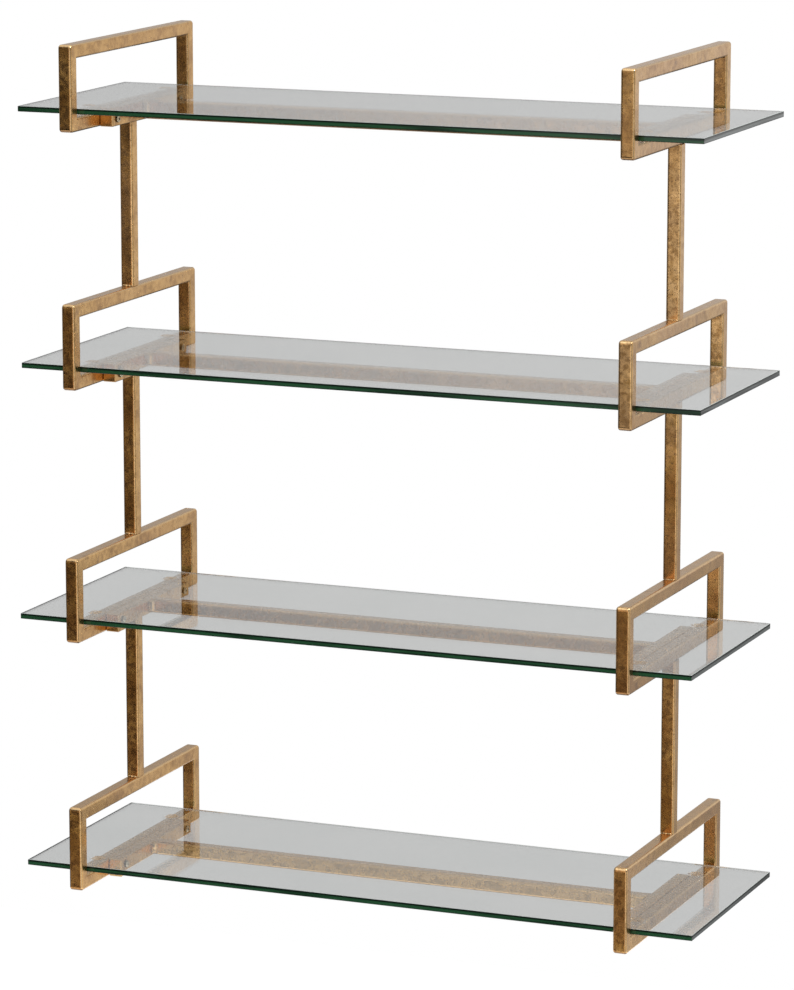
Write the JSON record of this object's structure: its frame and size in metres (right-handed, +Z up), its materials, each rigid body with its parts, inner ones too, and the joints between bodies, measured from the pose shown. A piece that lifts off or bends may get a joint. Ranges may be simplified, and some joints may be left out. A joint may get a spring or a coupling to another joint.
{
  "type": "wall shelf",
  "caption": "Open wall shelf: gilded end frames of rectangular tube loops, tied by screwed stretchers, carry loose sheets of clear glass on soft bumpers.",
  "frame": {"origin": "midway between the two wall keyholes, on the plane of the wall at the back of the rear posts", "axes": "+X to the viewer's right along the shelves, +Y into the wall (the front faces -Y), +Z up"},
  "size_m": [0.768, 0.305, 0.914],
  "materials": {
    "gilded_metal": "antique gold leaf over a dark ground, rubbed and pitted",
    "clear_glass": "clear float glass with ground green edges",
    "screw_metal": "plated",
    "clear_bumper": "clear soft plastic"
  },
  "bodies": {
    "frame": {"left_loop1_front_post": "gilded_metal", "left_loop1_rear_post": "gilded_metal", "left_loop1_top_bar": "gilded_metal", "left_loop1_bottom_bar": "gilded_metal", "left_loop2_front_post": "gilded_metal", "left_loop2_rear_post": "gilded_metal", "left_loop2_top_bar": "gilded_metal", "left_loop2_bottom_bar": "gilded_metal", "left_loop3_front_post": "gilded_metal", "left_loop3_rear_post": "gilded_metal", "left_loop3_top_bar": "gilded_metal", "left_loop3_bottom_bar": "gilded_metal", "left_loop4_front_post": "gilded_metal", "left_loop4_rear_post": "gilded_metal", "left_loop4_top_bar": "gilded_metal", "left_loop4_bottom_bar": "gilded_metal", "left_upright1": "gilded_metal", "left_upright2": "gilded_metal", "left_upright3": "gilded_metal", "right_loop1_front_post": "gilded_metal", "right_loop1_rear_post": "gilded_metal", "right_loop1_top_bar": "gilded_metal", "right_loop1_bottom_bar": "gilded_metal", "right_loop2_front_post": "gilded_metal", "right_loop2_rear_post": "gilded_metal", "right_loop2_top_bar": "gilded_metal", "right_loop2_bottom_bar": "gilded_metal", "right_loop3_front_post": "gilded_metal", "right_loop3_rear_post": "gilded_metal", "right_loop3_top_bar": "gilded_metal", "right_loop3_bottom_bar": "gilded_metal", "right_loop4_front_post": "gilded_metal", "right_loop4_rear_post": "gilded_metal", "right_loop4_top_bar": "gilded_metal", "right_loop4_bottom_bar": "gilded_metal", "right_upright1": "gilded_metal", "right_upright2": "gilded_metal", "right_upright3": "gilded_metal", "stretcher_rail1": "gilded_metal", "stretcher_rail2": "gilded_metal", "stretcher_rail3": "gilded_metal", "stretcher_rail4": "gilded_metal", "left_end_bar1": "gilded_metal", "left_end_bar2": "gilded_metal", "left_end_bar3": "gilded_metal", "left_end_bar4": "gilded_metal", "right_end_bar1": "gilded_metal", "right_end_bar2": "gilded_metal", "right_end_bar3": "gilded_metal", "right_end_bar4": "gilded_metal", "stretcher_screws": "screw_metal", "glass_bumpers": "clear_bumper"},
    "glass1": {"glass_shelf1": "clear_glass"},
    "glass2": {"glass_shelf2": "clear_glass"},
    "glass3": {"glass_shelf3": "clear_glass"},
    "glass4": {"glass_shelf4": "clear_glass"}
  },
  "joints": [
    {"name": "glass_shelf1_slide", "type": "slide", "parent": "frame", "child": "glass1", "axis": [1, 0, 0], "range_m": [-0.066, 0.054]},
    {"name": "glass_shelf2_slide", "type": "slide", "parent": "frame", "child": "glass2", "axis": [1, 0, 0], "range_m": [-0.066, 0.054]},
    {"name": "glass_shelf3_slide", "type": "slide", "parent": "frame", "child": "glass3", "axis": [1, 0, 0], "range_m": [-0.06, 0.06]},
    {"name": "glass_shelf4_slide", "type": "slide", "parent": "frame", "child": "glass4", "axis": [1, 0, 0], "range_m": [-0.064, 0.056]}
  ]
}
